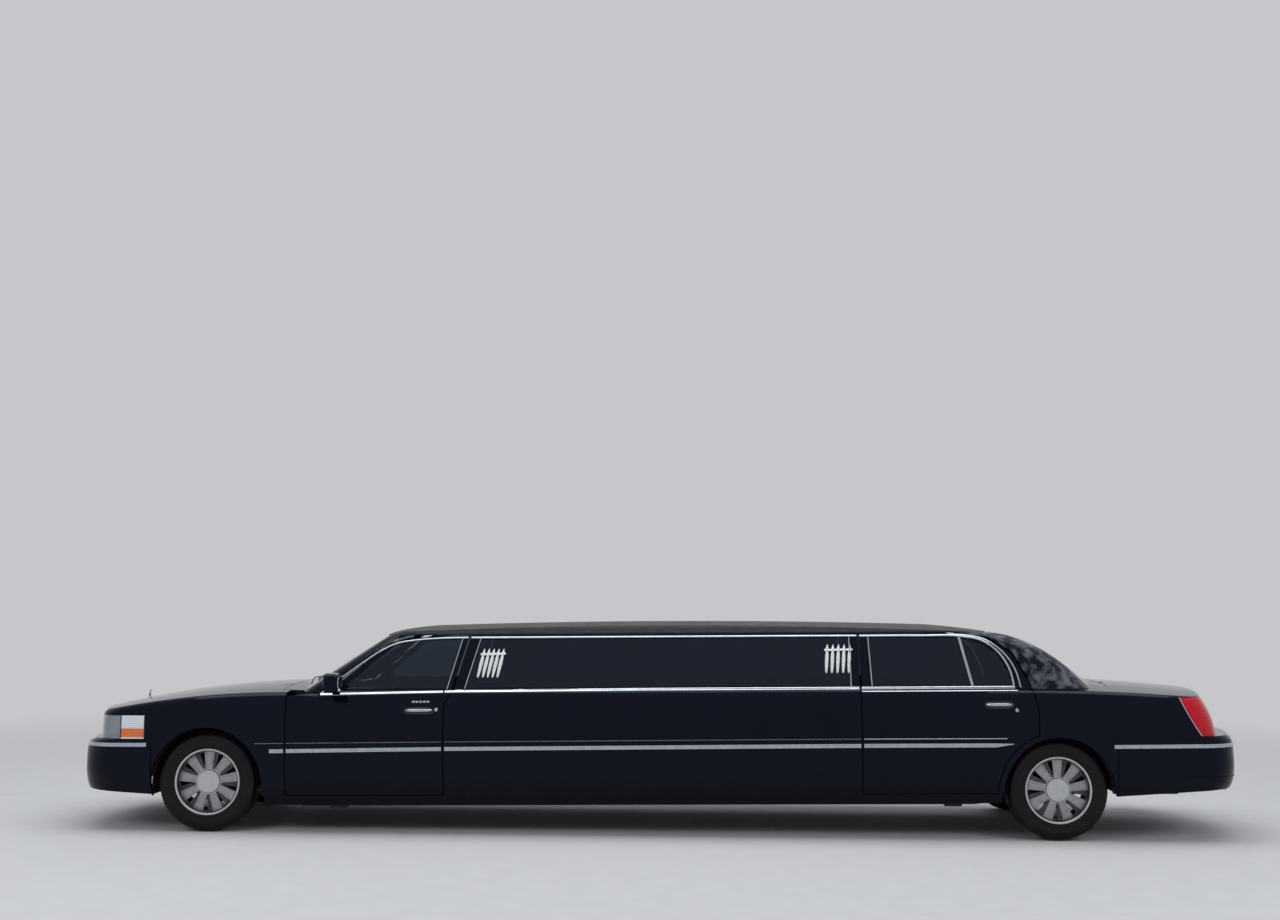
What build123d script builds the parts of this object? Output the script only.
from build123d import *
import math
import os

os.makedirs("parts", exist_ok=True)

# Stretch limousine: a long three-box saloon on a separate frame.
# Millimetres, +Z up, front towards -X, left side towards -Y, wheels on z = 0.
# The body is drawn level and then leans nose-down by the rake, as it stands.

# Overall layout
WHEELBASE = 6038.0
FRONT_OVERHANG = 1050.0
REAR_OVERHANG = 1410.0
BODY_LENGTH = FRONT_OVERHANG + WHEELBASE + REAR_OVERHANG
NOSE_X = -BODY_LENGTH / 2
TAIL_X = BODY_LENGTH / 2
FRONT_AXLE_X = NOSE_X + FRONT_OVERHANG
REAR_AXLE_X = TAIL_X - REAR_OVERHANG
HALF_WIDTH = 983.0
RAKE_DEG = 0.72
BUMPER_PEAK_Z = 520.0

# Wheels
TYRE_RADIUS = 351.0
TYRE_WIDTH = 225.0
HALF_TRACK = 798.0
RIM_RADIUS = 233.0
RIM_BORE_RADIUS = 206.0
TYRE_SEAT_RADIUS = 221.0
SPOKE_COUNT = 9
SPINDLE_RADIUS = 22.0
RUNNING_FIT = 0.05
KINGPIN_INSET = 28.0

# Body shell
SKIN = 30.0
DOOR_DEPTH = 95.0
FRAME_DEPTH = 42.0
DOOR_GAP = 7.0
DOOR_INNER_INSET = 28.0
DOOR_FRAME_INSET = 8.0
GLASS_INSET = 7.0
GLASS_THICKNESS = 6.0
FIT = 0.3
FRONT_DOOR_EDGE = 574.0
REAR_DOOR_EDGE = -1377.0
STRAIGHT_FRONT_X = FRONT_AXLE_X + FRONT_DOOR_EDGE
STRAIGHT_REAR_X = REAR_AXLE_X - 139.0
FRONT_FLANK_RADIUS = 13500.0
REAR_FLANK_RADIUS = 14500.0


def tangent_corner(bow_x, bow_radius, flank_centre, flank_radius, corner_radius, way):
    """Centre and two tangent points of the arc that joins a bowed end to a flank arc."""
    cx = bow_x - way * bow_radius
    fx, fy = flank_centre
    ra = bow_radius - corner_radius
    rb = flank_radius - corner_radius
    span = math.hypot(fx - cx, fy)
    along = (ra * ra - rb * rb + span * span) / (2 * span)
    off = math.sqrt(max(ra * ra - along * along, 0.0))
    ux, uy = (fx - cx) / span, fy / span
    sign = 1 if way * (-uy) > 0 else -1
    mx, my = cx + ux * along - uy * off * sign, uy * along + ux * off * sign
    bow = (cx + (mx - cx) * bow_radius / ra, my * bow_radius / ra)
    flank = (fx + (mx - fx) * flank_radius / rb, fy + (my - fy) * flank_radius / rb)
    a0 = math.atan2(bow[1] - my, bow[0] - mx)
    a1 = math.atan2(flank[1] - my, flank[0] - mx)
    am = (a0 + a1) / 2
    mid = (mx + corner_radius * math.cos(am), my + corner_radius * math.sin(am))
    return bow, mid, flank


def flank_point(centre, radius, x):
    return (x, centre[1] + math.sqrt(radius * radius - (x - centre[0]) ** 2))


def plan_outline(z, front_x, rear_x, half_width, bows, corners):
    """Closed plan outline of the body at one height: bowed ends, round corners, flanks."""
    front_flank = (STRAIGHT_FRONT_X, half_width - FRONT_FLANK_RADIUS)
    rear_flank = (STRAIGHT_REAR_X, half_width - REAR_FLANK_RADIUS)
    fb, fm, ff = tangent_corner(front_x, bows[0], front_flank, FRONT_FLANK_RADIUS, corners[0], -1)
    rb, rm, rf = tangent_corner(rear_x, bows[1], rear_flank, REAR_FLANK_RADIUS, corners[1], 1)
    fs = flank_point(front_flank, FRONT_FLANK_RADIUS, (ff[0] + STRAIGHT_FRONT_X) / 2)
    rs = flank_point(rear_flank, REAR_FLANK_RADIUS, (rf[0] + STRAIGHT_REAR_X) / 2)
    a = (STRAIGHT_FRONT_X, half_width)
    b = (STRAIGHT_REAR_X, half_width)

    def p(q, s=1):
        return (q[0], s * q[1], z)

    return Wire([
        Line(p(a), p(b)),
        ThreePointArc(p(b), p(rs), p(rf)),
        ThreePointArc(p(rf), p(rm), p(rb)),
        ThreePointArc(p(rb), (rear_x, 0, z), p(rb, -1)),
        ThreePointArc(p(rb, -1), p(rm, -1), p(rf, -1)),
        ThreePointArc(p(rf, -1), p(rs, -1), p(b, -1)),
        Line(p(b, -1), p(a, -1)),
        ThreePointArc(p(a, -1), p(fs, -1), p(ff, -1)),
        ThreePointArc(p(ff, -1), p(fm, -1), p(fb, -1)),
        ThreePointArc(p(fb, -1), (front_x, 0, z), p(fb)),
        ThreePointArc(p(fb), p(fm), p(ff)),
        ThreePointArc(p(ff), p(fs), p(a)),
    ])


LOWER_ROWS = [
    # height, nose setback, tail setback, tuck from the half width
    (226, 179, 219, 99),
    (262, 164, 199, 75),
    (310, 149, 174, 51),
    (390, 131, 149, 25),
    (500, 119, 134, 8),
    (616, 115, 129, 0),
    (760, 117, 143, 0),
    (880, 127, 189, 8),
    (960, 139, 239, 23),
    (1005, 150, 273, 40),
    (1036, 159, 299, 75),
    (1075, 174, 329, 143),
]
LOWER_BOWS = (2500.0, 2300.0)
LOWER_CORNERS = (230.0, 210.0)


def crowned_cutter(points, crown_radius):
    """Everything above a surface with a crown across and an arc along three points."""
    (x0, z0), (x1, z1), (x2, z2) = points
    path = ThreePointArc((x0, 0, z0), (x1, 0, z1), (x2, 0, z2))
    reach, height = 1150.0, 700.0
    drop = crown_radius - math.sqrt(crown_radius**2 - reach**2)
    plane = Plane(origin=path @ 0, x_dir=(0, 1, 0), z_dir=path % 0)
    up = 1 if plane.y_dir.Z > 0 else -1
    edges = [
        ThreePointArc((-reach, -up * drop), (0, 0), (reach, -up * drop)),
        Line((reach, -up * drop), (reach, up * height)),
        Line((reach, up * height), (-reach, up * height)),
        Line((-reach, up * height), (-reach, -up * drop)),
    ]
    face = make_face(Curve() + edges)
    return sweep(plane * face, path)


BONNET_LINE = [(NOSE_X - 151, 832), (NOSE_X + 749, 1012), (NOSE_X + 1849, 1056)]
DECK_LINE = [(TAIL_X - 1900, 1063), (TAIL_X - 949, 1044), (TAIL_X + 51, 952)]
BONNET_CROWN = 11000.0
DECK_CROWN = 9000.0


def shifted(points, dz):
    return [(x, z + dz) for x, z in points]


def lower_body(inset=0.0):
    rows = [
        plan_outline(z, NOSE_X + nose + inset, TAIL_X - tail - inset, HALF_WIDTH - tuck - inset,
                     LOWER_BOWS, (LOWER_CORNERS[0] - inset * 0.5, LOWER_CORNERS[1] - inset * 0.5))
        for z, nose, tail, tuck in LOWER_ROWS
    ]
    body = Solid.make_loft(rows)
    body = body - crowned_cutter(shifted(BONNET_LINE, -inset), BONNET_CROWN)
    body = body - crowned_cutter(shifted(DECK_LINE, -inset), DECK_CROWN)
    return body


def top_rim(body, x_low, x_high):
    """Edges where the flanks and ends meet the bonnet or boot surface."""
    rim = []
    for e in body.edges():
        p, q = e @ 0, e @ 1
        inside = x_low < p.X < x_high and x_low < q.X < x_high
        on_surface = 850 < min(p.Z, q.Z) and max(p.Z, q.Z) < LOWER_ROWS[-1][0] - 1
        if inside and on_surface and (abs(p.X - q.X) > 50 or abs(p.Y - q.Y) > 200):
            rim.append(e)
    return rim


BONNET_EDGE_RADIUS = 60.0
BOOT_EDGE_RADIUS = 50.0


def lower_master(inset=0.0):
    """The lower body with its bonnet and boot edges rounded near the skin."""
    body = lower_body(inset).solids()[0]
    if inset > SKIN:
        return body
    rim = top_rim(body, NOSE_X, FRONT_AXLE_X + 700)
    body = body.fillet(BONNET_EDGE_RADIUS - inset * 0.5, rim).solids()[0]
    rim = top_rim(body, REAR_AXLE_X - 240, TAIL_X)
    return body.fillet(BOOT_EDGE_RADIUS - inset * 0.4, rim).solids()[0]


UPPER_ROWS = [
    # height, front end from its axle, rear end from its axle, tuck, front corner, rear corner
    (980, 459, 451, 51, 110, 190),
    (1130, 699, 286, 103, 110, 190),
    (1280, 939, 83, 158, 110, 190),
    (1420, 1169, -364, 217, 110, 190),
]
ROOF_ROWS = [
    (1420, 1169, -364, 217, 110, 190),
    (1440, 1222, -500, 232, 110, 190),
    (1462, 1325, -700, 275, 110, 190),
    (1482, 1520, -940, 350, 110, 190),
    (1504, 1850, -1300, 480, 110, 190),
]
ROOF_LINE = [
    (FRONT_AXLE_X + 899, 1462), ((FRONT_AXLE_X + REAR_AXLE_X) / 2 + 380, 1504),
    (REAR_AXLE_X - 139, 1444),
]
ROOF_CROWN = 9000.0
UPPER_BOWS = (2600.0, 2200.0)
UPPER_SLOPE = 1.9


def cabin_outline(z, front_x, rear_x, half_width, front_corner, rear_corner):
    """Closed plan outline of the glasshouse: bowed glass at both ends, straight sides."""
    ends = []
    for x, bow, r, way in ((front_x, UPPER_BOWS[0], front_corner, -1),
                           (rear_x, UPPER_BOWS[1], rear_corner, 1)):
        cy = half_width - r
        dx = math.sqrt((bow - r) ** 2 - cy**2)
        centre = x - way * bow
        cx = centre + way * dx
        touch = (centre + way * dx * bow / (bow - r), cy * bow / (bow - r))
        a = (math.atan2(touch[1] - cy, touch[0] - cx) + math.pi / 2) / 2
        ends.append(((cx, half_width), (cx + r * math.cos(a), cy + r * math.sin(a)), touch))
    (fs, fm, fb), (rs, rm, rb) = ends

    def p(q, s=1):
        return (q[0], s * q[1], z)

    return Wire([
        Line(p(fs), p(rs)),
        ThreePointArc(p(rs), p(rm), p(rb)),
        ThreePointArc(p(rb), (rear_x, 0, z), p(rb, -1)),
        ThreePointArc(p(rb, -1), p(rm, -1), p(rs, -1)),
        Line(p(rs, -1), p(fs, -1)),
        ThreePointArc(p(fs, -1), p(fm, -1), p(fb, -1)),
        ThreePointArc(p(fb, -1), (front_x, 0, z), p(fb)),
        ThreePointArc(p(fb), p(fm), p(fs)),
    ])


def upper_outline(row, inset=0.0):
    z, front, rear, tuck, rf, rr = row
    return cabin_outline(z, FRONT_AXLE_X + front + inset * UPPER_SLOPE,
                         REAR_AXLE_X + rear - inset * UPPER_SLOPE,
                         HALF_WIDTH - tuck - inset, rf - inset * 0.3, rr - inset * 0.3)


def upper_master(inset=0.0):
    """The glasshouse, from inside the lower body to the foot of the roof."""
    return Solid.make_loft([upper_outline(row, inset) for row in UPPER_ROWS])


# Heights and stations in the level body frame
SILL_Z = 226.0
SILL_TOP_Z = 294.0
DOOR_BOTTOM_Z = 300.0
DOOR_TOP_Z = 1414.0
ROOF_SPLIT_Z = 1420.0
BELT_TOP_Z = 1038.0
GLASS_BOTTOM_Z = 1050.0
GLASS_TOP_Z = 1392.0
BONNET_REAR_X = FRONT_AXLE_X + 499.0
BOOT_FRONT_X = REAR_AXLE_X + 440.0
FRONT_BUMPER_TOP_Z = 700.0
REAR_BUMPER_TOP_Z = 690.0
RAKE = math.radians(RAKE_DEG)
CENTRE_SHIFT = BUMPER_PEAK_Z * math.sin(RAKE)
STANDING = Pos(CENTRE_SHIFT, 0, 0) * Rot(0, -RAKE_DEG, 0)


def body_point(x, z):
    """A point of the standing car in the level body frame."""
    x -= CENTRE_SHIFT
    return (x * math.cos(RAKE) + z * math.sin(RAKE), z * math.cos(RAKE) - x * math.sin(RAKE))


FRONT_HUB = body_point(FRONT_AXLE_X, TYRE_RADIUS)
REAR_HUB = body_point(REAR_AXLE_X, TYRE_RADIUS)
FRONT_ARCH_RADIUS = 402.0
REAR_ARCH_RADIUS = 386.0
ARCH_DROP = 13.0
ARCH_LIP = 36.0
FRONT_LIP_X = FRONT_AXLE_X - 401.0
REAR_LIP_X = REAR_AXLE_X + 406.0
FENDER_REAR_X = FRONT_AXLE_X + FRONT_DOOR_EDGE - DOOR_GAP
FRONT_ARCH = Pos(FRONT_HUB[0], FRONT_HUB[1] - ARCH_DROP)
REAR_ARCH = Pos(REAR_HUB[0], REAR_HUB[1] - ARCH_DROP)


def side_face(station, points, radius=0.0):
    """A face in side view through points given as distance from a station and height."""
    face = make_face(Polyline(*[(station + x, z) for x, z in points], close=True))
    if radius:
        face = fillet(face.vertices(), radius)
    return face


def side_prism(face, near=400.0, far=1150.0):
    """The left side's prism of a side-view face, from y = -far to y = -near."""
    return extrude(Plane((0, -near, 0), x_dir=(1, 0, 0), z_dir=(0, -1, 0)) * face, far - near)


def front_prism(points, x0, x1, radius=0.0):
    """A prism along X of a face drawn as y, z, with its mirror image."""
    ring = points + [(-y, z) for y, z in reversed(points)]
    face = make_face(Polyline(*ring, close=True))
    if radius:
        face = fillet(face.vertices(), radius)
    return extrude(Plane((x0, 0, 0), x_dir=(0, 1, 0), z_dir=(1, 0, 0)) * face, x1 - x0)


def plan_prism(points, z0, z1, radius=0.0):
    """A prism along Z of a face drawn as x, half width, with its mirror image."""
    ring = points + [(x, -y) for x, y in reversed(points)]
    face = make_face(Polyline(*ring, close=True))
    if radius:
        face = fillet(face.vertices(), radius)
    return extrude(Pos(0, 0, z0) * face, z1 - z0)


def box(x0, x1, y0, y1, z0, z1):
    return Pos((x0 + x1) / 2, (y0 + y1) / 2, (z0 + z1) / 2) * Box(x1 - x0, y1 - y0, z1 - z0)


def wide_box(x0, x1, half_width, z0, z1):
    return box(x0, x1, -half_width, half_width, z0, z1)


def rod_y(x, z, radius, y0, y1):
    return Pos(x, (y0 + y1) / 2, z) * Rot(90, 0, 0) * Cylinder(radius, y1 - y0)


def rod_z(x, y, radius, z0, z1):
    return Pos(x, y, (z0 + z1) / 2) * Cylinder(radius, z1 - z0)


def rod_between(a, b, radius):
    a, b = Vector(*a), Vector(*b)
    return extrude(Plane(a, z_dir=b - a) * Circle(radius), (b - a).length)


def both(left):
    """A left-hand piece with its mirror image."""
    return Compound([*left.solids(), *mirror(left, Plane.XZ).solids()])


def write(name, shape, place=STANDING):
    """Puts a piece where it stands and writes it."""
    export_step(Compound((place * shape).solids()), f"parts/{name}.step")


WORLD = Pos(0, 0, 0)

# Side-view outlines: distance from the nearer axle, height
FRONT_DOOR = side_face(FRONT_AXLE_X, [
    (FRONT_DOOR_EDGE, DOOR_BOTTOM_Z), (FRONT_DOOR_EDGE, 1000), (849, 1024), (1274, 1374),
    (1419, DOOR_TOP_Z),
    (1860, DOOR_TOP_Z), (1753, 1028), (1694, 930), (1694, DOOR_BOTTOM_Z),
], 12)
REAR_DOOR = side_face(REAR_AXLE_X, [
    (REAR_DOOR_EDGE, DOOR_BOTTOM_Z), (REAR_DOOR_EDGE, DOOR_TOP_Z), (-659, DOOR_TOP_Z - 2),
    (-439, 1378), (-294, 1280), (-199, 1100), (-145, 900), (-145, DOOR_BOTTOM_Z),
], 12) - REAR_ARCH * Circle(REAR_ARCH_RADIUS + ARCH_LIP + DOOR_GAP)
FRONT_WINDOW = side_face(FRONT_AXLE_X, [
    (954, GLASS_BOTTOM_Z), (1319, 1352), (1444, 1387), (1803, GLASS_TOP_Z),
    (1707, GLASS_BOTTOM_Z),
], 10)
REAR_WINDOW = side_face(REAR_AXLE_X, [
    (-1287, GLASS_BOTTOM_Z), (-1299, GLASS_TOP_Z), (-673, 1388), (-601, GLASS_BOTTOM_Z),
], 10)
QUARTER_WINDOW = side_face(REAR_AXLE_X, [
    (-577, GLASS_BOTTOM_Z), (-647, 1384), (-509, 1356), (-399, 1276), (-327, 1150),
    (-309, GLASS_BOTTOM_Z),
], 10)
LONG_WINDOW = fillet(make_face(Polyline(
    (FRONT_AXLE_X + 1849, GLASS_BOTTOM_Z), (FRONT_AXLE_X + 1949, GLASS_TOP_Z),
    (REAR_AXLE_X - 1453, GLASS_TOP_Z), (REAR_AXLE_X - 1453, GLASS_BOTTOM_Z), close=True,
)).vertices(), 10)

# Masters of the shell: outside, inside of the skin, inside of the doors
LEFT = box(NOSE_X - 100, TAIL_X + 100, -1300, 0, 0, 1700)
LOWER_OUTER = lower_master()
LOWER_INNER = lower_master(SKIN)
LOWER_DEEP = lower_master(DOOR_DEPTH)
UPPER_OUTER = upper_master()
UPPER_INNER = upper_master(FRAME_DEPTH)
LOWER_SKIN = LOWER_OUTER - LOWER_INNER
LEFT_SKIN = LOWER_SKIN & LEFT
LEFT_DEPTH = (LOWER_INNER - LOWER_DEEP) & LEFT
LEFT_WALL = (UPPER_OUTER & LEFT) - UPPER_INNER
GLASS_OUTER = upper_master(GLASS_INSET)
GLASS_INNER = upper_master(GLASS_INSET + GLASS_THICKNESS)
BELOW_BELT = box(NOSE_X - 100, TAIL_X + 100, -1300, 0, 0, BELT_TOP_Z)
SIDE_INNER_Y = HALF_WIDTH - DOOR_DEPTH - 90.0
CABIN_INNER_Y = SIDE_INNER_Y - 8.0


def glass(prism):
    return (GLASS_OUTER & prism) - GLASS_INNER


def door(outline, windows):
    """Skin on the outline, a box behind it set in all round, and a window frame above."""
    panel = LEFT_SKIN & side_prism(outline, near=SIDE_INNER_Y) & BELOW_BELT
    inner = side_prism(offset(outline, -DOOR_INNER_INSET), near=SIDE_INNER_Y)
    panel += LEFT_DEPTH & inner & BELOW_BELT
    frame = LEFT_WALL & side_prism(offset(outline, -DOOR_FRAME_INSET))
    panel += frame - box(NOSE_X, TAIL_X, -SIDE_INNER_Y, 0, 0, BELT_TOP_Z + 2)
    for window in windows:
        panel -= side_prism(window)
    return panel


# Door hinges: a pin in a pocket of the door, held by an eye on the pillar
HINGE_INSET = 14.0
HINGE_SETBACK = 55.0
HINGE_Y = HALF_WIDTH - HINGE_INSET
HINGE_ROWS = (570.0, 790.0)
HINGE_PIN_RADIUS = 4.0
HINGE_EYE_RADIUS = 8.0
FRONT_HINGE_X = FRONT_AXLE_X + FRONT_DOOR_EDGE + HINGE_SETBACK
REAR_HINGE_X = REAR_AXLE_X + REAR_DOOR_EDGE + HINGE_SETBACK


def with_hinge_pins(panel, x):
    for z in HINGE_ROWS:
        panel -= box(x - HINGE_SETBACK - 1, x + 12, -HINGE_Y - 9, -SIDE_INNER_Y + 10,
                     z - 18, z + 18)
        panel += rod_z(x, -HINGE_Y, HINGE_PIN_RADIUS, z - 30, z + 30)
    return panel


def hinge_eyes(x, pieces):
    """Eyes round the door's pins, each with the same arms to its pillar."""
    eyes = []
    for z in HINGE_ROWS:
        eye = rod_z(x, -HINGE_Y, HINGE_EYE_RADIUS, z - 12, z + 12)
        for x0, x1, y0, y1 in pieces:
            eye += box(x0, x1, y0, y1, z - 12, z + 12)
        eyes.append(eye - rod_z(x, -HINGE_Y, HINGE_PIN_RADIUS + RUNNING_FIT, z - 13, z + 13))
    return eyes


# Doors and their glass
front_door = with_hinge_pins(door(FRONT_DOOR, [FRONT_WINDOW]), FRONT_HINGE_X)
rear_door = with_hinge_pins(door(REAR_DOOR, [REAR_WINDOW, QUARTER_WINDOW]), REAR_HINGE_X)
front_glass = glass(side_prism(offset(FRONT_WINDOW, -FIT)))
rear_glass = Compound([
    *glass(side_prism(offset(REAR_WINDOW, -FIT))).solids(),
    *glass(side_prism(offset(QUARTER_WINDOW, -FIT))).solids(),
])
mirror_head = box(FRONT_AXLE_X + 875, FRONT_AXLE_X + 985, -1185, -985, 1030, 1165)
mirror_head = fillet(mirror_head.edges(), 38)
mirror_foot = box(FRONT_AXLE_X + 895, FRONT_AXLE_X + 948, -1010, -860, 1032, 1057)
door_mirror = mirror_head + (mirror_foot - UPPER_OUTER - LOWER_OUTER)
for name, shape in (("front_door", front_door), ("rear_door", rear_door),
                    ("front_glass", front_glass), ("rear_glass", rear_glass),
                    ("mirror", door_mirror)):
    write(f"{name}_left", shape)
    write(f"{name}_right", mirror(shape, Plane.XZ))

# Long sides between the doors
MIDDLE = make_face(Polyline(
    (FRONT_AXLE_X + 1639, SILL_TOP_Z + FIT), (FRONT_AXLE_X + 1639, ROOF_SPLIT_Z - FIT),
    (REAR_AXLE_X - 1319, ROOF_SPLIT_Z - FIT), (REAR_AXLE_X - 1319, SILL_TOP_Z + FIT), close=True,
)) - offset(FRONT_DOOR, DOOR_GAP) - offset(REAR_DOOR, DOOR_GAP)
middle = (LEFT_SKIN + LEFT_DEPTH) & side_prism(MIDDLE, near=SIDE_INNER_Y) & BELOW_BELT
middle += LEFT_WALL & side_prism(MIDDLE)
middle -= side_prism(LONG_WINDOW)
middle += hinge_eyes(REAR_HINGE_X, [
    (REAR_HINGE_X - 6, REAR_HINGE_X + 6, -HINGE_Y, -HINGE_Y + 105),
    (REAR_HINGE_X - 110, REAR_HINGE_X + 6, -HINGE_Y + 92, -HINGE_Y + 105),
    (REAR_HINGE_X - 110, REAR_HINGE_X - 70, -HINGE_Y + 70, -HINGE_Y + 105),
])
write("side_panels", both(middle))
write("long_glass", both(glass(side_prism(offset(LONG_WINDOW, -FIT)))))

# Sills under the doors
SILL = side_face(0, [
    (FRONT_AXLE_X + 412, SILL_Z), (FRONT_AXLE_X + 412, SILL_TOP_Z),
    (REAR_AXLE_X - 400, SILL_TOP_Z), (REAR_AXLE_X - 400, SILL_Z),
]) - FRONT_ARCH * Circle(FRONT_ARCH_RADIUS) - REAR_ARCH * Circle(REAR_ARCH_RADIUS)
write("rockers", both(LOWER_OUTER & side_prism(SILL, near=760)))

# Bonnet, boot lid and the panels round them
BONNET_PLAN = [(BONNET_REAR_X, 735), (NOSE_X + 400, 665), (NOSE_X - 50, 600)]
BONNET_CUT = [(BONNET_REAR_X + 6, 740), (NOSE_X + 400, 670), (NOSE_X - 50, 605)]
GRILLE_HALF_WIDTH = 385.0
LAMP_TOP_Z = 865.0
BOOT_HALF_WIDTH = 600.0
BOOT_SIDE = BOOT_HALF_WIDTH + 5.0
BOOT_BOTTOM_Z = 720.0
# Lid hinges: a tongue of the lid turns on a pin across a slot of the fixed panel
LID_HINGE_Y = 300.0
LID_PIN_RADIUS = 4.0
LID_EYE_RADIUS = 7.0
BONNET_HINGE = (BONNET_REAR_X + 60, 1041.0)
BOOT_HINGE = (BOOT_FRONT_X - 45, 1034.0)


def with_tongues(lid, edge_x, hinge):
    x, z = hinge
    way = 1 if x > edge_x else -1
    for y in (-LID_HINGE_Y, LID_HINGE_Y):
        x0, x1 = sorted((edge_x - way * 40, x))
        lid += box(x0, x1, y - 6, y + 6, z - LID_EYE_RADIUS, z + LID_EYE_RADIUS)
        lid += rod_y(x, z, LID_EYE_RADIUS, y - 6, y + 6)
        lid -= rod_y(x, z, LID_PIN_RADIUS + RUNNING_FIT, y - 7, y + 7)
    return lid


def with_slots(panel, edge_x, hinge):
    x, z = hinge
    x0, x1 = sorted((edge_x, x + 14 if x > edge_x else x - 14))
    for y in (-LID_HINGE_Y, LID_HINGE_Y):
        panel -= box(x0, x1, y - 12, y + 12, z - 60, z + 60)
        panel += rod_y(x, z, LID_PIN_RADIUS, y - 20, y + 20)
    return panel


bonnet = LOWER_SKIN & plan_prism(BONNET_PLAN, LAMP_TOP_Z + 6, 1200)
write("bonnet", with_tongues(bonnet, BONNET_REAR_X, BONNET_HINGE))
boot_lid = LOWER_SKIN & wide_box(BOOT_FRONT_X, TAIL_X, BOOT_HALF_WIDTH, BOOT_BOTTOM_Z, 1200)
write("boot_lid", with_tongues(boot_lid, BOOT_FRONT_X, BOOT_HINGE))

# Front fenders and head lamps
FENDER = side_face(0, [
    (FENDER_REAR_X, SILL_TOP_Z + FIT), (FENDER_REAR_X, 1100), (NOSE_X - 50, 1100),
    (NOSE_X - 50, FRONT_BUMPER_TOP_Z + FIT), (FRONT_LIP_X, FRONT_BUMPER_TOP_Z + FIT),
    (FRONT_LIP_X, SILL_TOP_Z + FIT),
]) - FRONT_ARCH * Circle(FRONT_ARCH_RADIUS)
HEADLAMP = side_face(0, [
    (NOSE_X - 50, FRONT_BUMPER_TOP_Z + 1), (NOSE_X - 50, LAMP_TOP_Z),
    (FRONT_AXLE_X - 449, LAMP_TOP_Z), (FRONT_AXLE_X - 449, FRONT_BUMPER_TOP_Z + 1),
])
fender = LEFT_SKIN & side_prism(FENDER, near=GRILLE_HALF_WIDTH + FIT)
fender -= plan_prism(BONNET_CUT, LAMP_TOP_Z, 1200)
fender -= wide_box(BONNET_REAR_X, FRONT_AXLE_X + 600, 735 + FIT, 900, 1200)
fender -= side_prism(HEADLAMP, near=GRILLE_HALF_WIDTH)
write("front_fenders", both(fender))
headlamp = (LEFT_SKIN + LEFT_DEPTH) & side_prism(
    offset(HEADLAMP, -FIT), near=GRILLE_HALF_WIDTH + 2 * FIT)
write("headlamps", both(headlamp))

# Rear quarters with their pillars, tail lamps, rear panel and parcel shelf
QUARTER = side_face(0, [
    (REAR_AXLE_X - 430, SILL_TOP_Z + FIT), (REAR_AXLE_X - 430, 1200), (TAIL_X, 1200),
    (TAIL_X, REAR_BUMPER_TOP_Z + FIT), (REAR_LIP_X, REAR_BUMPER_TOP_Z + FIT),
    (REAR_LIP_X, SILL_TOP_Z + FIT),
]) - offset(REAR_DOOR, DOOR_GAP) - REAR_ARCH * Circle(REAR_ARCH_RADIUS)
C_PILLAR = side_face(REAR_AXLE_X, [
    (-640, 980), (-640, ROOF_SPLIT_Z - FIT), (460, ROOF_SPLIT_Z - FIT), (460, 980),
]) - offset(REAR_DOOR, DOOR_GAP)
TAIL_LAMP = side_face(0, [
    (REAR_AXLE_X + 855, 958), (REAR_AXLE_X + 995, REAR_BUMPER_TOP_Z + 1),
    (TAIL_X, REAR_BUMPER_TOP_Z + 1), (TAIL_X, 958),
])
WINDSCREEN = [(815, 1000), (676, ROOF_SPLIT_Z - FIT)]
BACKLIGHT = [(770, 1000), (640, ROOF_SPLIT_Z - FIT)]


def narrowed(points, by):
    return [(y - by, z) for y, z in points]


windscreen_prism = front_prism(WINDSCREEN, FRONT_AXLE_X + 300, FRONT_AXLE_X + 1500)
backlight_prism = front_prism(BACKLIGHT, REAR_AXLE_X - 700, REAR_AXLE_X + 500)
quarter = LEFT_SKIN & side_prism(QUARTER, near=BOOT_SIDE + FIT)
pillar = (LEFT_WALL & side_prism(C_PILLAR)) - backlight_prism - LOWER_INNER
quarter = quarter + pillar - side_prism(TAIL_LAMP)
write("quarter_panels", both(quarter))
write("tail_lamps", both(LEFT_SKIN & side_prism(offset(TAIL_LAMP, -FIT), near=BOOT_SIDE + FIT)))
write("rear_panel", LOWER_SKIN & wide_box(TAIL_X - 400, TAIL_X, BOOT_SIDE, 330, BOOT_BOTTOM_Z - 6))
parcel_shelf = LOWER_SKIN & wide_box(REAR_AXLE_X - 300, BOOT_FRONT_X - 8, BOOT_SIDE, 980, 1100)
write("parcel_shelf", with_slots(parcel_shelf, BOOT_FRONT_X, BOOT_HINGE))

# Windscreen pillars and roof
A_PILLAR = side_face(FRONT_AXLE_X, [
    (400, 980), (400, ROOF_SPLIT_Z - FIT), (1500, ROOF_SPLIT_Z - FIT), (1500, 980),
]) - offset(FRONT_DOOR, DOOR_GAP)
write("a_pillars", both((LEFT_WALL & side_prism(A_PILLAR)) - windscreen_prism - LOWER_OUTER))
ROOF_HOLLOW = [
    # front x, rear x, half width, height of the flat-sided hollow under the roof
    (FRONT_AXLE_X + 1267, REAR_AXLE_X - 397, 708, ROOF_SPLIT_Z - 1),
    (FRONT_AXLE_X + 1800, REAR_AXLE_X - 1140, 400, ROOF_SPLIT_Z + 42),
]
hollow = Solid.make_loft([
    Wire(Polyline((x0, -w, z), (x1, -w, z), (x1, w, z), (x0, w, z), close=True).edges())
    for x0, x1, w, z in ROOF_HOLLOW
], True)
roof = Solid.make_loft([upper_outline(row) for row in ROOF_ROWS])
roof -= crowned_cutter(ROOF_LINE, ROOF_CROWN)
write("roof", roof - hollow)


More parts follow.
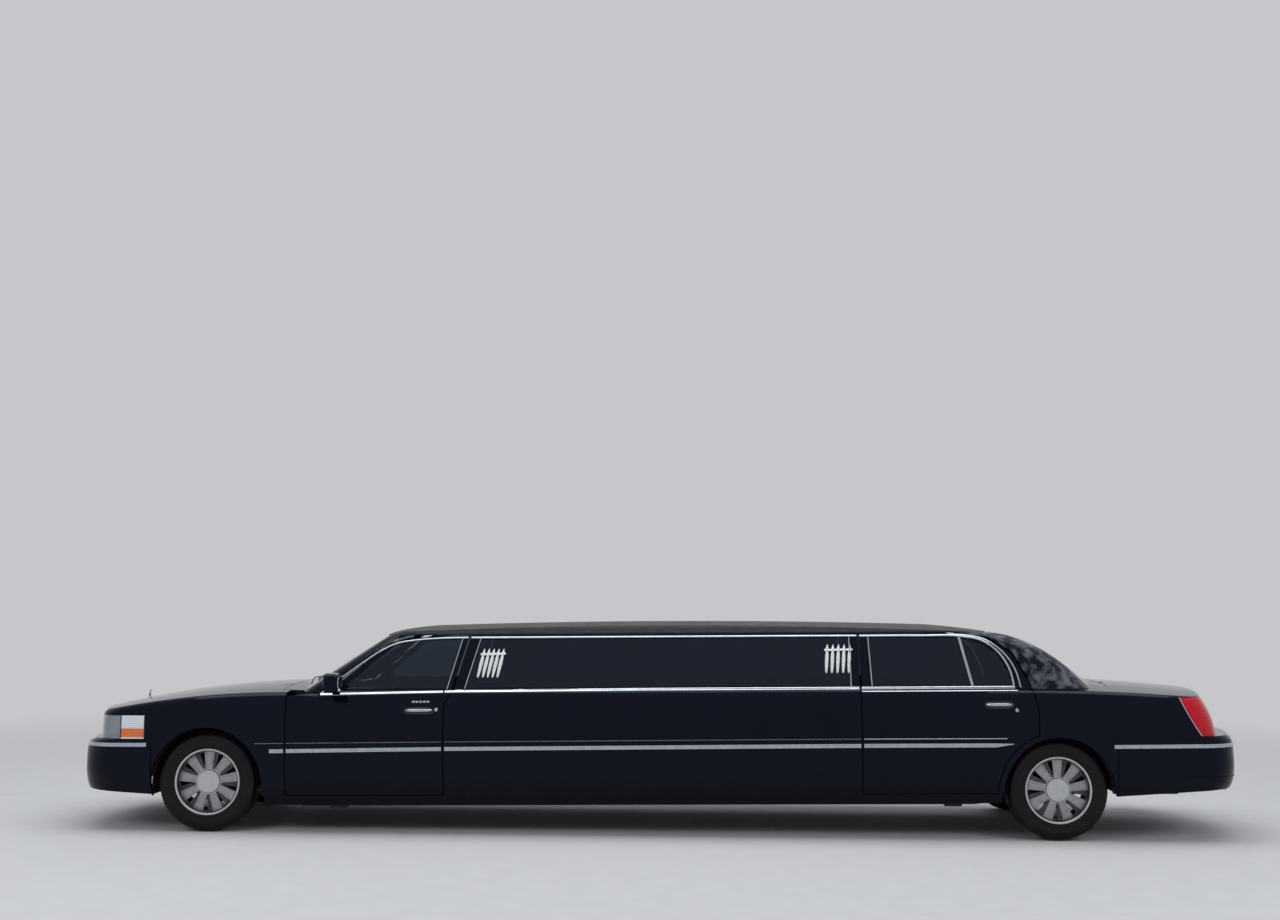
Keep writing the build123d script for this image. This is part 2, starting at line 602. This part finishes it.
def end_glass(station, column, way, bow):
    """A bowed sheet just inside the master's front or rear surface."""
    strips = []
    for row in UPPER_ROWS:
        x0 = station + row[column] - way * GLASS_INSET * UPPER_SLOPE
        x1 = x0 - way * GLASS_THICKNESS * UPPER_SLOPE
        reach = 850
        back = way * (bow - math.sqrt(bow**2 - reach**2))
        strips.append(Wire([
            ThreePointArc((x0 - back, -reach, row[0]), (x0, 0, row[0]), (x0 - back, reach, row[0])),
            Line((x0 - back, reach, row[0]), (x1 - back, reach, row[0])),
            ThreePointArc((x1 - back, reach, row[0]), (x1, 0, row[0]), (x1 - back, -reach, row[0])),
            Line((x1 - back, -reach, row[0]), (x0 - back, -reach, row[0])),
        ]))
    return Solid.make_loft(strips)


screen = end_glass(FRONT_AXLE_X, 1, -1, UPPER_BOWS[0])
screen &= front_prism(narrowed(WINDSCREEN, FIT), FRONT_AXLE_X + 300, FRONT_AXLE_X + 1500)
write("windshield", screen - LOWER_OUTER)
back = end_glass(REAR_AXLE_X, 2, 1, UPPER_BOWS[1])
back &= front_prism(narrowed(BACKLIGHT, FIT), REAR_AXLE_X - 700, REAR_AXLE_X + 500)
write("rear_window", back - LOWER_OUTER)

# Cowl, bulkhead and hinge pillars
FLOOR_THICKNESS = 20.0
FLOOR_Z = SILL_TOP_Z + FIT
FLOOR_TOP_Z = FLOOR_Z + FLOOR_THICKNESS
SEAT_Z = FLOOR_TOP_Z + FIT
BULKHEAD_REAR = 668.0
BULKHEAD_THICKNESS = 28.0
BULKHEAD_X = FRONT_AXLE_X + BULKHEAD_REAR
CABIN_HALF_WIDTH = 880.0
cabin_side = lower_master(DOOR_DEPTH + 8)
cowl = LOWER_SKIN & (wide_box(BONNET_REAR_X + 6, FENDER_REAR_X, 735, 900, 1200)
                     + wide_box(FENDER_REAR_X, FRONT_AXLE_X + 760, CABIN_INNER_Y, 900, 1200))
bulkhead = wide_box(BULKHEAD_X - BULKHEAD_THICKNESS, BULKHEAD_X, CABIN_HALF_WIDTH, SEAT_Z, 1100)
pillars = wide_box(BULKHEAD_X - 83, BULKHEAD_X, CABIN_HALF_WIDTH, SEAT_Z, 1100)
pillars -= wide_box(BULKHEAD_X - 168, BULKHEAD_X + 32, CABIN_INNER_Y, 0, 1200)
pillars = (bulkhead + pillars) & cabin_side
eyes = Compound(hinge_eyes(FRONT_HINGE_X, [
    (FRONT_HINGE_X - 8, FRONT_HINGE_X + 6, -HINGE_Y, -HINGE_Y + 110),
]))
write("cowl", with_slots(cowl + pillars + both(eyes), BONNET_REAR_X, BONNET_HINGE))

# Floor: the cabin's, a step over the rear axle, and the boot's
FLOOR_HALF_WIDTH = 830.0
HUMP_HALF_WIDTH = 640.0
HUMP_TOP_Z = 660.0
HUMP_REAR_X = REAR_LIP_X + FLOOR_THICKNESS
BOOT_FLOOR_Z = 500.0
BOOT_FLOOR_TOP_Z = BOOT_FLOOR_Z + FLOOR_THICKNESS
FLOOR_REAR_X = REAR_AXLE_X - 420.0
STEP_X = FLOOR_REAR_X - FLOOR_THICKNESS
floor = wide_box(FRONT_AXLE_X + 600, FLOOR_REAR_X, FLOOR_HALF_WIDTH, FLOOR_Z, FLOOR_TOP_Z)
floor += wide_box(STEP_X, FLOOR_REAR_X, HUMP_HALF_WIDTH, FLOOR_Z, HUMP_TOP_Z)
floor += wide_box(STEP_X, HUMP_REAR_X, HUMP_HALF_WIDTH, HUMP_TOP_Z - FLOOR_THICKNESS, HUMP_TOP_Z)
floor += wide_box(REAR_LIP_X, HUMP_REAR_X, HUMP_HALF_WIDTH, BOOT_FLOOR_Z, HUMP_TOP_Z)
boot_floor = wide_box(REAR_LIP_X, TAIL_X - 175, CABIN_HALF_WIDTH, BOOT_FLOOR_Z, BOOT_FLOOR_TOP_Z)
write("floor_pan", floor + (boot_floor & LOWER_INNER))

# Ladder frame: rail side view through rail plan view, then cross members
RAIL_TOP_Z = SILL_TOP_Z
RAIL_DEPTH = 100.0
RAIL_END_X = TAIL_X - 265.0
RAIL_START_X = NOSE_X + 160.0
ENGINE_SEAT_Z = 400.0
RAIL_SIDE = side_face(0, [
    (RAIL_START_X, 470), (FRONT_AXLE_X + 330, 470), (FRONT_AXLE_X + 590, RAIL_TOP_Z),
    (REAR_AXLE_X - 400, RAIL_TOP_Z), (REAR_AXLE_X - 260, 570), (REAR_AXLE_X + 260, 570),
    (REAR_AXLE_X + 395, 490), (RAIL_END_X, 490), (RAIL_END_X, 400), (REAR_AXLE_X + 375, 400),
    (REAR_AXLE_X + 240, 480), (REAR_AXLE_X - 230, 480),
    (REAR_AXLE_X - 370, RAIL_TOP_Z - RAIL_DEPTH), (FRONT_AXLE_X + 560, RAIL_TOP_Z - RAIL_DEPTH),
    (FRONT_AXLE_X + 300, 380), (RAIL_START_X, 380),
])
RAIL_PLAN = make_face(Polyline(
    (RAIL_START_X, -415), (FRONT_AXLE_X + 430, -415), (FRONT_AXLE_X + 640, -680),
    (REAR_AXLE_X - 560, -680), (REAR_AXLE_X - 410, -560), (RAIL_END_X, -560),
    (RAIL_END_X, -480), (REAR_AXLE_X - 390, -480), (REAR_AXLE_X - 550, -600),
    (FRONT_AXLE_X + 630, -600), (FRONT_AXLE_X + 420, -340), (RAIL_START_X, -340), close=True,
))
rail = side_prism(RAIL_SIDE, near=300, far=700) & extrude(RAIL_PLAN, 700)
rail += box(FRONT_AXLE_X - 60, FRONT_AXLE_X + 60, -415, -345, 460, 600)
frame = rail + mirror(rail, Plane.XZ)
CROSS_MEMBERS = [
    # front x, rear x, half width, bottom z, top z
    (NOSE_X + 190, NOSE_X + 280, 350, ENGINE_SEAT_Z - 15, ENGINE_SEAT_Z),
    (FRONT_AXLE_X - 60, FRONT_AXLE_X + 60, 345, 290, ENGINE_SEAT_Z),
    (FRONT_AXLE_X - 60, FRONT_AXLE_X + 60, 330, 215, 300),
    (FRONT_AXLE_X + 1500, FRONT_AXLE_X + 1600, 610, 194, 230),
    (-50, 50, 610, 194, 230),
    (REAR_AXLE_X - 1600, REAR_AXLE_X - 1500, 610, 194, 230),
    (REAR_AXLE_X + 170, REAR_AXLE_X + 240, 490, 500, 550),
    (RAIL_END_X - 80, RAIL_END_X - 10, 490, 405, 485),
]
for x0, x1, half, z0, z1 in CROSS_MEMBERS:
    frame += wide_box(x0, x1, half, z0, z1)

# Jacking pads under the rails, with level faces on the standing car
JACK_PAD_Y = 640.0
JACK_PAD_LENGTH = 120.0
JACK_PAD_WIDTH = 70.0
JACK_PAD_HEIGHT = 60.0
JACK_PAD_ROWS = [
    # middle x, height of the face
    (FRONT_AXLE_X + 900, 150.0), (REAR_AXLE_X - 700, 205.0),
]
standing_frame = STANDING * frame
for x, z in JACK_PAD_ROWS:
    for y in (-JACK_PAD_Y, JACK_PAD_Y):
        pad = Box(JACK_PAD_LENGTH, JACK_PAD_WIDTH, JACK_PAD_HEIGHT)
        standing_frame += Pos(x, y, z + JACK_PAD_HEIGHT / 2) * pad
write("chassis_frame", standing_frame, WORLD)

# Engine and gearbox, tank, radiator, exhaust
GEARBOX_REAR_X = FRONT_AXLE_X + 590.0
engine = wide_box(FRONT_AXLE_X - 550, FRONT_AXLE_X + 150, 270, ENGINE_SEAT_Z + FIT, 830)
engine += wide_box(FRONT_AXLE_X + 140, GEARBOX_REAR_X, 160, 235, 560)
write("engine", engine)
write("fuel_tank", wide_box(REAR_AXLE_X + 520, REAR_AXLE_X + 1000, 360, 330, BOOT_FLOOR_Z - FIT))
write("radiator", wide_box(NOSE_X + 215, NOSE_X + 275, 338, ENGINE_SEAT_Z + FIT, 850))
EXHAUST_Y = -440.0
PIPE_RADIUS = 24.0
PIPE_Z = 262.0
TAIL_PIPE_Z = 296.0
SILENCER_RADIUS = 62.0
SILENCER_LENGTH = 460.0
SILENCER_X = REAR_AXLE_X + 500.0
EXHAUST_PATH = [
    # x, z of each bend
    (FRONT_AXLE_X + 700, PIPE_Z), (REAR_AXLE_X - 395, PIPE_Z), (REAR_AXLE_X - 290, 440),
    (REAR_AXLE_X + 360, 440), (SILENCER_X, TAIL_PIPE_Z), (TAIL_X - 170, TAIL_PIPE_Z),
]
silencer = Plane((SILENCER_X, EXHAUST_Y, TAIL_PIPE_Z), z_dir=(1, 0, 0)) * Circle(SILENCER_RADIUS)
exhaust = extrude(silencer, SILENCER_LENGTH)
for (xa, za), (xb, zb) in zip(EXHAUST_PATH, EXHAUST_PATH[1:]):
    exhaust += rod_between((xa, EXHAUST_Y, za), (xb, EXHAUST_Y, zb), PIPE_RADIUS)
for x, z in EXHAUST_PATH[1:-1]:
    exhaust += Pos(x, EXHAUST_Y, z) * Sphere(PIPE_RADIUS)
write("exhaust", exhaust)

# Wheel houses: a half drum over each wheel, with its inner wall
HOUSE_WALL = 8.0
HOUSE_CLEARANCE = 6.0
FRONT_HOUSE_Y = 455.0
REAR_HOUSE_Y = 655.0


def wheelhouse(arch, radius, hub, inner_y):
    disc = arch * Circle(radius + HOUSE_CLEARANCE + HOUSE_WALL)
    ring = disc - arch * Circle(radius + HOUSE_CLEARANCE)
    below = Pos(hub[0], 0) * Rectangle(3 * radius, 2 * (SILL_TOP_Z + 6))
    wall = side_prism(ring - below, near=inner_y, far=1150) & LOWER_INNER
    wall += side_prism(disc - below, near=inner_y - HOUSE_WALL, far=inner_y)
    return wall


front_house = wheelhouse(FRONT_ARCH, FRONT_ARCH_RADIUS, FRONT_HUB, FRONT_HOUSE_Y)
front_house -= box(FRONT_AXLE_X - 90, FRONT_AXLE_X + 90, -FRONT_HOUSE_Y - 45,
                   -FRONT_HOUSE_Y + 55, 510, 600)
front_house -= box(FRONT_AXLE_X - 430, FRONT_AXLE_X - 400, -1150, -840, 200, 700)
rear_house = wheelhouse(REAR_ARCH, REAR_ARCH_RADIUS, REAR_HUB, REAR_HOUSE_Y)
rear_house -= box(REAR_HUB[0] - 75, REAR_HUB[0] + 75, -REAR_HOUSE_Y - 45, -REAR_HOUSE_Y + 55,
                  200, REAR_HUB[1] + 70)
write("wheelhouses", Compound([*both(front_house).solids(), *both(rear_house).solids()]))

# Bumpers: one band round both ends
BUMPER_ROWS = [
    # height, setback from nose and tail, tuck
    (265, 80, 66), (305, 48, 50), (345, 22, 30), (420, 4, 8), (520, 0, -6),
    (620, 5, -8), (660, 18, -7), (690, 50, -3), (700, 72, 2),
]
BUMPER_BOWS = (2400.0, 2200.0)
BUMPER_CORNERS = (300.0, 280.0)
BUMPER_WALL = 45.0
BUMPER_LEDGE_Z = 652.0


def bumper_master(inset=0.0):
    return Solid.make_loft([
        plan_outline(z, NOSE_X + setback + inset, TAIL_X - setback - inset,
                     HALF_WIDTH - tuck - inset, BUMPER_BOWS,
                     (BUMPER_CORNERS[0] - inset * 0.5, BUMPER_CORNERS[1] - inset * 0.5))
        for z, setback, tuck in BUMPER_ROWS
    ])


def bumper(face):
    prism = side_prism(face, near=-1150, far=1150)
    void = BUMPER_INNER & wide_box(NOSE_X, TAIL_X, 1200, 0, BUMPER_LEDGE_Z)
    return (BUMPER_OUTER & prism) - void - (LEDGE_INNER & wide_box(
        NOSE_X, TAIL_X, 1200, BUMPER_LEDGE_Z - 1, 800))


BUMPER_OUTER = bumper_master()
BUMPER_INNER = bumper_master(BUMPER_WALL)
LEDGE_INNER = lower_master(40)
FRONT_BUMPER = side_face(0, [
    (NOSE_X - 60, 352), (FRONT_LIP_X, 306), (FRONT_LIP_X, FRONT_BUMPER_TOP_Z),
    (NOSE_X - 60, FRONT_BUMPER_TOP_Z),
]) - FRONT_ARCH * Circle(FRONT_ARCH_RADIUS)
REAR_BUMPER = side_face(0, [
    (TAIL_X + 60, 330), (REAR_LIP_X + FIT, 272), (REAR_LIP_X + FIT, REAR_BUMPER_TOP_Z),
    (TAIL_X + 60, REAR_BUMPER_TOP_Z),
]) - REAR_ARCH * Circle(REAR_ARCH_RADIUS)
write("front_bumper", bumper(FRONT_BUMPER))
boot_end = LOWER_OUTER & wide_box(TAIL_X - 400, TAIL_X, BOOT_SIDE + FIT, 200, 800)
write("rear_bumper", bumper(REAR_BUMPER) - boot_end)

# Grille: a curved plate with upright slots between its bars
GRILLE_BOTTOM_Z = FRONT_BUMPER_TOP_Z + FIT
GRILLE_TOP_Z = LAMP_TOP_Z + 1
GRILLE_FRAME = 18.0
GRILLE_FOOT = 16.0
GRILLE_PROUD = 8.0
GRILLE_DEPTH = 50.0
SLOT_COUNT = 25
BAR_WIDTH = 9.0
slot_pitch = (2 * (GRILLE_HALF_WIDTH - GRILLE_FRAME) + BAR_WIDTH) / SLOT_COUNT
slot_half = (slot_pitch - BAR_WIDTH) / 2
slots = []
for i in range(SLOT_COUNT):
    y = (i - (SLOT_COUNT - 1) / 2) * slot_pitch
    slots.append(box(NOSE_X, NOSE_X + 400, y - slot_half, y + slot_half,
                     GRILLE_BOTTOM_Z + GRILLE_FOOT, GRILLE_TOP_Z - GRILLE_FRAME))
grille = (lower_body(-GRILLE_PROUD) - lower_body(GRILLE_DEPTH)) & wide_box(
    NOSE_X, NOSE_X + 400, GRILLE_HALF_WIDTH, GRILLE_BOTTOM_Z, GRILLE_TOP_Z)
write("grille", grille - slots)

# Cabin
dash = side_prism(side_face(FRONT_AXLE_X, [
    (BULKHEAD_REAR + FIT, 700), (BULKHEAD_REAR + FIT, 968), (760, 984), (960, 970),
    (985, 890), (900, 720),
]), near=-CABIN_INNER_Y, far=CABIN_INNER_Y)
write("dashboard", dash)
WHEEL_CENTRE = (FRONT_AXLE_X + 1290, -400, 930)
COLUMN_END = (FRONT_AXLE_X + 930, -400, 796)
tilted = Plane(WHEEL_CENTRE, x_dir=(0, 1, 0), z_dir=Vector(*WHEEL_CENTRE) - Vector(*COLUMN_END))
steering = tilted * Torus(185, 13) + tilted * Pos(0, 0, -12) * Cylinder(50, 40)
steering += tilted * Box(360, 34, 14)
steering += tilted * Pos(0, -90, 0) * Box(34, 180, 14)
steering += rod_between(COLUMN_END, WHEEL_CENTRE, 26)
write("steering_wheel", steering - dash)
SEAT_SIDE = side_face(FRONT_AXLE_X, [
    (1330, SEAT_Z), (1330, 545), (1790, 530), (1880, 1090), (1995, 1100), (1920, SEAT_Z),
], 20)
write("front_seats", both(side_prism(SEAT_SIDE, near=150, far=700)))
PARTITION_X = FRONT_AXLE_X + 2080.0
PARTITION_THICKNESS = 25.0
PARTITION_TOP = [
    (803, 1000), (803, 1195), (766, 1300), (724, 1395),
    (708 - FIT, ROOF_SPLIT_Z - 1), (400 - FIT, ROOF_SPLIT_Z + 42 - FIT),
]
partition = cabin_side & wide_box(
    PARTITION_X, PARTITION_X + PARTITION_THICKNESS, 1000, SEAT_Z, 1005)
partition += front_prism(PARTITION_TOP, PARTITION_X, PARTITION_X + PARTITION_THICKNESS)
write("partition", partition - wide_box(NOSE_X, TAIL_X, 470, 950, 1320))
BENCH = make_face(Polyline((-330, SEAT_Z), (-330, 600), (-640, 585), (-700, 985), (-826, 985),
                           (-826, SEAT_Z), close=True))
bench = extrude(Plane((FRONT_AXLE_X + 2300, 0, 0), x_dir=(0, 1, 0), z_dir=(1, 0, 0)) * BENCH,
                REAR_AXLE_X - 1530 - FRONT_AXLE_X - 2300)
rear_bench = side_prism(side_face(REAR_AXLE_X, [
    (-960, SEAT_Z), (-960, 600), (-620, 580), (-560, 985), (-445, 985), (-445, SEAT_Z),
], 20), near=-780, far=780)
write("cabin_seats", Compound([*bench.solids(), *rear_bench.solids()]))
cabinet = box(FRONT_AXLE_X + 2400, REAR_AXLE_X - 1750, 500, 826, SEAT_Z, 860)
cabinet += box(FRONT_AXLE_X + 2380, REAR_AXLE_X - 1730, 470, 826, 860, 885)
write("bar_cabinet", cabinet)

# Running gear, in the standing frame
KINGPIN_Y = HALF_TRACK - KINGPIN_INSET
KINGPIN_RADIUS = 14.0
ARM_EYE_RADIUS = 30.0
ARM_CLEARANCE = 4.0
ARM_ROWS = [
    # inner y, bottom z, top z
    (330 + FIT, 180, 210),
    (415 + FIT, 500, 522),
]
UPRIGHT_INNER_Y = KINGPIN_Y - 25
UPRIGHT_OUTER_Y = KINGPIN_Y + 22
HUB_INNER_Y = UPRIGHT_OUTER_Y + 4
SPINDLE_END_Y = HALF_TRACK + 32
arms = []
for inner, z0, z1 in ARM_ROWS:
    arm = box(FRONT_AXLE_X - 28, FRONT_AXLE_X + 28, -KINGPIN_Y, -inner, z0, z1)
    arm += rod_z(FRONT_AXLE_X, -KINGPIN_Y, ARM_EYE_RADIUS, z0, z1)
    arm -= rod_z(FRONT_AXLE_X, -KINGPIN_Y, KINGPIN_RADIUS + RUNNING_FIT, z0 - 1, z1 + 1)
    arms += arm.solids()
write("front_suspension", both(Compound(arms)), WORLD)
knuckle = box(FRONT_AXLE_X - 34, FRONT_AXLE_X + 34, -UPRIGHT_OUTER_Y, -UPRIGHT_INNER_Y,
              ARM_ROWS[0][2] + ARM_CLEARANCE, ARM_ROWS[1][1] - ARM_CLEARANCE)
knuckle += rod_z(FRONT_AXLE_X, -KINGPIN_Y, KINGPIN_RADIUS, ARM_ROWS[0][1], ARM_ROWS[1][2])
knuckle += rod_y(FRONT_AXLE_X, TYRE_RADIUS, SPINDLE_RADIUS, -SPINDLE_END_Y, -UPRIGHT_OUTER_Y + 5)
write("knuckle_left", knuckle, WORLD)
write("knuckle_right", mirror(knuckle, Plane.XZ), WORLD)

AXLE_TUBE_RADIUS = 45.0
DIFFERENTIAL_RADIUS = 125.0
SPRING_Y = 520.0
SPRING_RADIUS = 38.0
SHAFT_RADIUS = 25.0
SHAFT_Z = 262.0
SHAFT_BEND_X = REAR_AXLE_X - 430.0
axle = rod_y(REAR_AXLE_X, TYRE_RADIUS, AXLE_TUBE_RADIUS, -UPRIGHT_OUTER_Y, UPRIGHT_OUTER_Y)
axle += rod_y(REAR_AXLE_X, TYRE_RADIUS, SPINDLE_RADIUS, -SPINDLE_END_Y, SPINDLE_END_Y)
axle += Pos(REAR_AXLE_X, 0, TYRE_RADIUS) * Sphere(DIFFERENTIAL_RADIUS)
for y in (-SPRING_Y, SPRING_Y):
    axle += rod_z(REAR_AXLE_X, y, SPRING_RADIUS, TYRE_RADIUS, 545)
axle -= STANDING * frame
axle = axle.solids().sort_by(SortBy.VOLUME)[-1]
shaft = rod_between((GEARBOX_REAR_X + FIT, 0, SHAFT_Z), (SHAFT_BEND_X, 0, SHAFT_Z), SHAFT_RADIUS)
shaft += Pos(SHAFT_BEND_X, 0, SHAFT_Z) * Sphere(SHAFT_RADIUS)
shaft += rod_between((SHAFT_BEND_X, 0, SHAFT_Z), (REAR_AXLE_X - 40, 0, 312), SHAFT_RADIUS)
write("rear_axle", axle + STANDING * shaft, WORLD)

# Wheels
TYRE_PROFILE = [
    # radius, distance from the tyre's middle plane
    (TYRE_SEAT_RADIUS + FIT, 90.4), (RIM_RADIUS + 4, 95.6), (272, 108),
    (300, TYRE_WIDTH / 2), (330, 106), (345, 92), (TYRE_RADIUS, 70),
]
tyre_ring = TYRE_PROFILE + [(r, -w) for r, w in reversed(TYRE_PROFILE)]
tyre = revolve(make_face(Polyline(*[(r, 0, w) for r, w in tyre_ring], close=True)), Axis.Z)
RIM_PROFILE = [
    # radius, distance outward
    (RIM_RADIUS, 101), (RIM_RADIUS, 95), (TYRE_SEAT_RADIUS, 91), (TYRE_SEAT_RADIUS, -91),
    (RIM_RADIUS, -95), (RIM_RADIUS, -101), (226, -101), (RIM_BORE_RADIUS, -88),
    (RIM_BORE_RADIUS, 34), (212, 60), (216, 96), (222, 101),
]
rim = revolve(make_face(Polyline(*[(r, 0, w) for r, w in RIM_PROFILE], close=True)), Axis.Z)
DISC_MIDDLE = 49.0
DISC_THICKNESS = 22.0
HUB_RADIUS = 64.0
CAP_RADIUS = 84.0
CAP_THICKNESS = 10.0
DISC_FACE = DISC_MIDDLE + DISC_THICKNESS / 2
HUB_FOOT = HUB_INNER_Y - HALF_TRACK
disc = Pos(0, 0, DISC_MIDDLE) * Cylinder(RIM_BORE_RADIUS + 4, DISC_THICKNESS)
window = make_face(Polyline((98, -9), (203, -36), (203, 36), (98, 9), close=True))
window = extrude(fillet(window.vertices(), 6), 2 * DISC_THICKNESS)
for i in range(SPOKE_COUNT):
    turn = Rot(0, 0, (i + 0.5) * 360 / SPOKE_COUNT)
    disc -= turn * Pos(0, 0, DISC_MIDDLE - DISC_THICKNESS) * window
hub = Pos(0, 0, (HUB_FOOT + DISC_FACE) / 2) * Cylinder(HUB_RADIUS, DISC_FACE - HUB_FOOT)
hub += Pos(0, 0, DISC_FACE + CAP_THICKNESS / 2 - 1) * Cylinder(CAP_RADIUS, CAP_THICKNESS)
bore_depth = SPINDLE_END_Y + 3 - HUB_INNER_Y
hub_bore = Pos(0, 0, HUB_FOOT + bore_depth / 2) * Cylinder(
    SPINDLE_RADIUS + RUNNING_FIT, bore_depth)
rim = (rim + disc + hub) - hub_bore
for name, x, sign in (("front_left", FRONT_AXLE_X, -1), ("front_right", FRONT_AXLE_X, 1),
                      ("rear_left", REAR_AXLE_X, -1), ("rear_right", REAR_AXLE_X, 1)):
    place = Pos(x, sign * HALF_TRACK, TYRE_RADIUS) * Rot(-90 * sign, 0, 0)
    write(f"tyre_{name}", tyre, place)
    write(f"rim_{name}", rim, place)
